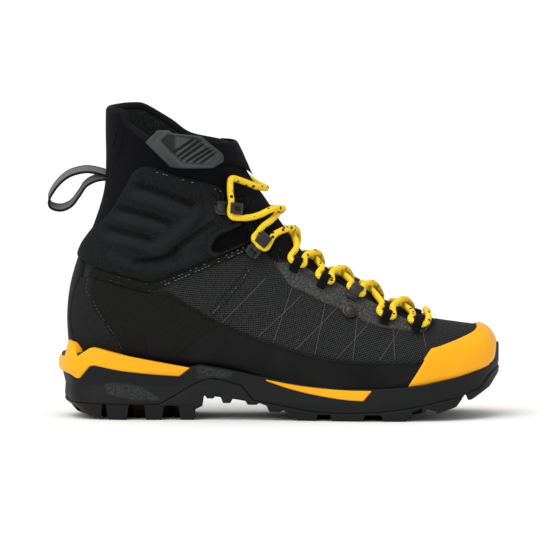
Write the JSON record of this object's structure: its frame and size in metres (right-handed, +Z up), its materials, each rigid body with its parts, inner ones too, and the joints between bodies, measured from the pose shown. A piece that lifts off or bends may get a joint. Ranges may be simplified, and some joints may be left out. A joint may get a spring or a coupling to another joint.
{
  "type": "mountaineering boot",
  "caption": "Right-foot insulated mountaineering boot with softshell collar, padded ankle cuff, crisscross lacing, rubber rand, toe cap and lugged sole with a rear crampon ledge.",
  "frame": {"origin": "on the floor under the heel lug, on the middle line of the sole", "axes": "+X points to the toe, +Y to the inner (big toe) side, +Z up"},
  "size_m": [0.3118, 0.1055, 0.2145],
  "materials": {
    "sole_rubber": "matte black lugged rubber",
    "midsole_foam": "dark stippled foam",
    "shank_steel": "plain steel",
    "board": "fibre board",
    "footbed_foam": "grey felt over foam",
    "yellow_plastic": "satin yellow moulded plastic",
    "lining_fabric": "dark mesh lining",
    "woven_fabric": "near-black diagonal woven textile",
    "softshell": "navy-black stretch softshell",
    "heel_synthetic": "smooth black coated textile",
    "rand_rubber": "matte black rubber",
    "eyestay_fabric": "grey-black heather webbing",
    "cuff_fabric": "black fine mesh over padding",
    "tab_rubber": "matte grey moulded rubber",
    "tape_nylon": "black hook and loop tape",
    "webbing": "grey woven webbing",
    "dark_metal": "satin gunmetal",
    "lace_cord": "yellow braided cord with black flecks",
    "tip_plastic": "black plastic lace tip"
  },
  "bodies": {
    "boot": {"outsole": "sole_rubber", "midsole": "midsole_foam", "shank": "shank_steel", "insole_board": "board", "heel_cradle": "yellow_plastic", "forefoot_insert_outer": "yellow_plastic", "forefoot_insert_inner": "yellow_plastic", "toe_cap": "yellow_plastic", "toe_bumper": "rand_rubber", "inner_lining": "lining_fabric", "upper_shell": "woven_fabric", "tongue": "softshell", "softshell_collar": "softshell", "heel_counter": "heel_synthetic", "heel_overlay_outer": "heel_synthetic", "heel_overlay_inner": "heel_synthetic", "ankle_band_outer": "heel_synthetic", "ankle_band_inner": "heel_synthetic", "backstay": "rand_rubber", "rand_outer": "rand_rubber", "rand_inner": "rand_rubber", "eyestay_outer": "eyestay_fabric", "eyestay_inner": "eyestay_fabric", "ankle_cuff_outer": "cuff_fabric", "ankle_cuff_inner": "cuff_fabric", "flap_base": "softshell", "loop_tape": "tape_nylon", "hook_top_outer": "dark_metal", "hook_top_inner": "dark_metal", "hook_lock_outer": "dark_metal", "hook_lock_inner": "dark_metal", "lace_loop_1_outer": "webbing", "lace_loop_1_inner": "webbing", "lace_loop_2_outer": "webbing", "lace_loop_2_inner": "webbing", "eyelet_outer": "dark_metal", "eyelet_inner": "dark_metal", "eyelet_rivet_outer": "dark_metal", "eyelet_rivet_inner": "dark_metal", "lace_loop_3_outer": "webbing", "lace_loop_3_inner": "webbing", "lace_loop_4_outer": "webbing", "lace_loop_4_inner": "webbing", "lace_half_outer": "lace_cord", "lace_half_inner": "lace_cord", "lace_tip_outer": "tip_plastic", "lace_tip_inner": "tip_plastic"},
    "flap": {"cuff_flap": "softshell", "pull_tab": "tab_rubber", "hook_tape": "tape_nylon"},
    "pull_loop": {"heel_pull_loop": "webbing"},
    "insole": {"footbed": "footbed_foam"}
  },
  "joints": [
    {"name": "cuff_flap_hinge", "type": "hinge", "parent": "boot", "child": "flap", "pos_m": [0.0848, 0.0043, 0.1795], "axis": [-0.4981, 0, 0.8671], "range_deg": [0, 100], "stiffness_Nm_per_rad": 0.005},
    {"name": "heel_loop_swing", "type": "hinge", "parent": "boot", "child": "pull_loop", "pos_m": [-0.0175, 0, 0.167], "axis": [0, 1, 0], "range_deg": [-25, 60], "stiffness_Nm_per_rad": 0.01},
    {"name": "footbed_lift", "type": "hinge", "parent": "boot", "child": "insole", "pos_m": [0.249, 0.008, 0.046], "axis": [0, 1, 0], "range_deg": [0, 6]}
  ]
}
